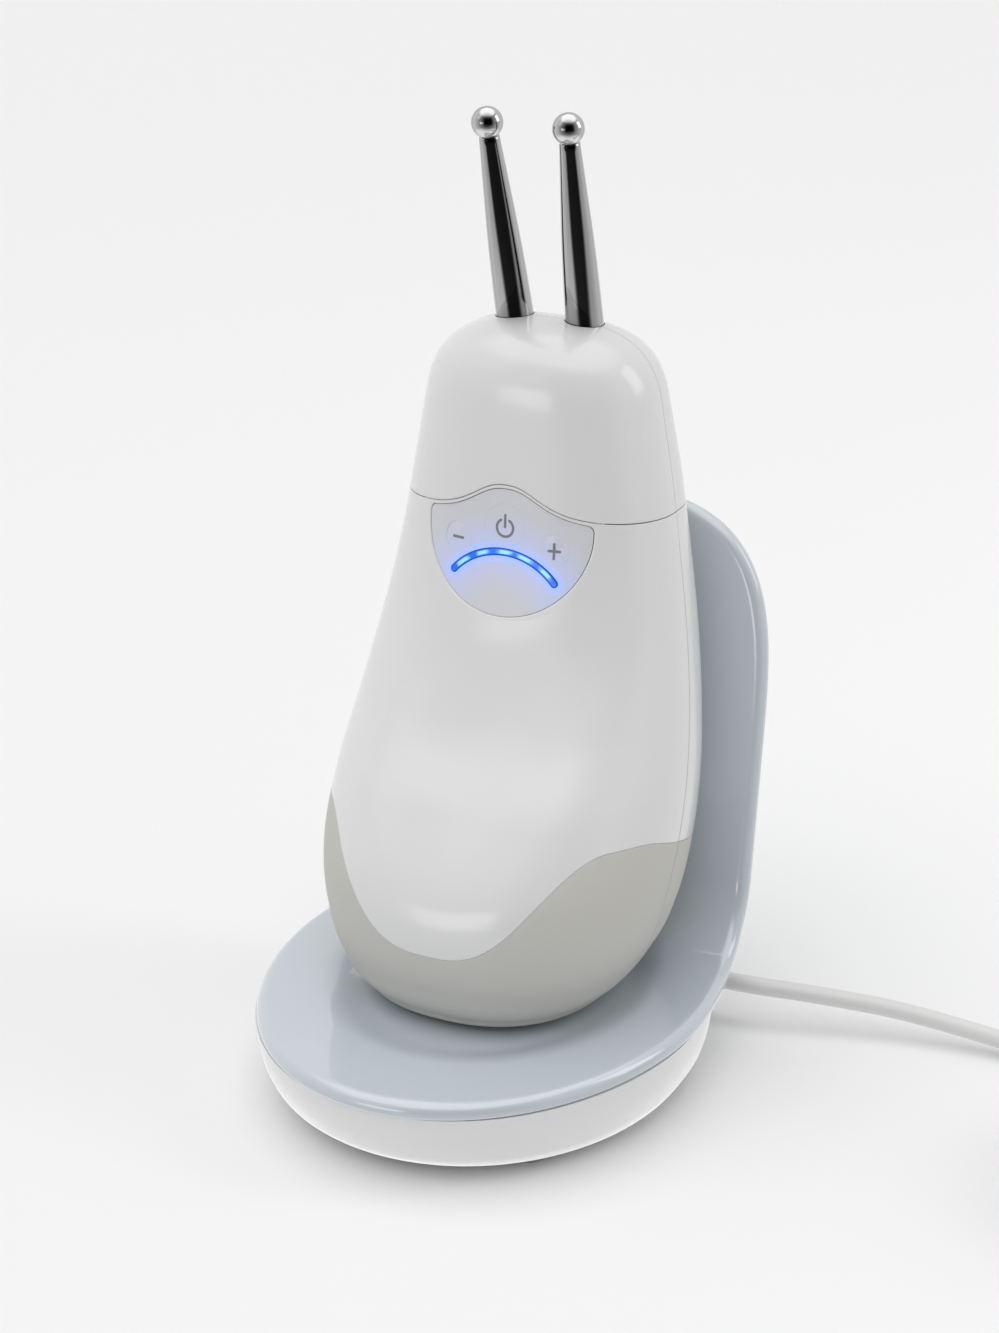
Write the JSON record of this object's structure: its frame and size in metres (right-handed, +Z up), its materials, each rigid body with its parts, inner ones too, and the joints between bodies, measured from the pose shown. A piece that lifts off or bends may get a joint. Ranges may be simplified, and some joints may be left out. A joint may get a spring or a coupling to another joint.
{
  "type": "facial toning device",
  "caption": "Hand-held facial toning device with ball-tipped probes and a lit button panel, standing in its charging cradle with a corded wall plug.",
  "frame": {"origin": "on the surface that the cradle stands on, under the middle of the cradle's box, without the cord, its coil, its tie and its plug", "axes": "+Z up, -Y is the side with the buttons, +X to the right of someone who looks at the buttons"},
  "size_m": [0.2575, 0.0996, 0.1766],
  "materials": {
    "shell_white": "glossy white moulded plastic",
    "grip_grey": "matte soft-touch grip",
    "panel_film": "translucent glossy film",
    "button_film": "translucent glossy button",
    "light_guide": "lit light guide",
    "probe_steel": "dark polished steel",
    "ball_chrome": "bright polished",
    "cradle_blue": "glossy blue-grey moulded plastic",
    "foot_rubber": "matte",
    "inner_plastic": "moulded",
    "buzzer_black": "moulded",
    "board_green": "solder mask",
    "cell_wrap": "shrink wrap",
    "wire_copper": "enamelled copper winding",
    "contact_gold": "plated",
    "screw_steel": "plated",
    "weight_iron": "cast",
    "cord_white": "satin jacket",
    "tie_black": "woven strap",
    "led_body": "moulded"
  },
  "bodies": {
    "cradle": {"cradle_tray": "cradle_blue", "base_shell": "shell_white", "base_plate": "inner_plastic", "rubber_feet": "foot_rubber", "base_screws": "screw_steel", "base_weight": "weight_iron", "contact_board": "board_green", "charge_pins": "contact_gold", "strain_relief": "cord_white", "cord_run": "cord_white", "cord_coil": "cord_white", "cord_tie": "tie_black", "plug_relief": "cord_white", "plug_body": "shell_white", "plug_blades": "screw_steel"},
    "handset": {"front_shell": "shell_white", "rear_shell": "shell_white", "front_grip": "grip_grey", "rear_grip": "grip_grey", "control_panel": "panel_film", "light_arc": "light_guide", "main_board": "board_green", "board_screws": "screw_steel", "tact_switches": "screw_steel", "leds": "led_body", "boost_coil": "wire_copper", "buzzer": "buzzer_black", "battery": "cell_wrap", "socket_block": "inner_plastic", "contact_sockets": "contact_gold", "charge_pads": "contact_gold"},
    "head": {"head_front_shell": "shell_white", "head_rear_shell": "shell_white", "head_base": "inner_plastic", "contact_pins": "contact_gold", "rod_carrier": "inner_plastic", "rod_left": "probe_steel", "rod_right": "probe_steel", "ball_left": "ball_chrome", "ball_right": "ball_chrome"},
    "power_button": {"power_button": "button_film"},
    "minus_button": {"minus_button": "button_film"},
    "plus_button": {"plus_button": "button_film"}
  },
  "joints": [
    {"name": "handset_lift", "type": "slide", "parent": "cradle", "child": "handset", "axis": [0, 0, 1], "range_m": [0, 0.08]},
    {"name": "head_pull", "type": "slide", "parent": "handset", "child": "head", "axis": [0, 0, 1], "range_m": [0, 0.03]},
    {"name": "power_press", "type": "slide", "parent": "handset", "child": "power_button", "axis": [0, 0.9945, -0.1045], "range_m": [0, 0.0004], "stiffness_N_per_m": 1500, "springref_m": -0.0001},
    {"name": "minus_press", "type": "slide", "parent": "handset", "child": "minus_button", "axis": [0.1727, 0.9794, -0.1045], "range_m": [0, 0.0004], "stiffness_N_per_m": 1500, "springref_m": -0.0001},
    {"name": "plus_press", "type": "slide", "parent": "handset", "child": "plus_button", "axis": [-0.1727, 0.9794, -0.1045], "range_m": [0, 0.0004], "stiffness_N_per_m": 1500, "springref_m": -0.0001}
  ]
}
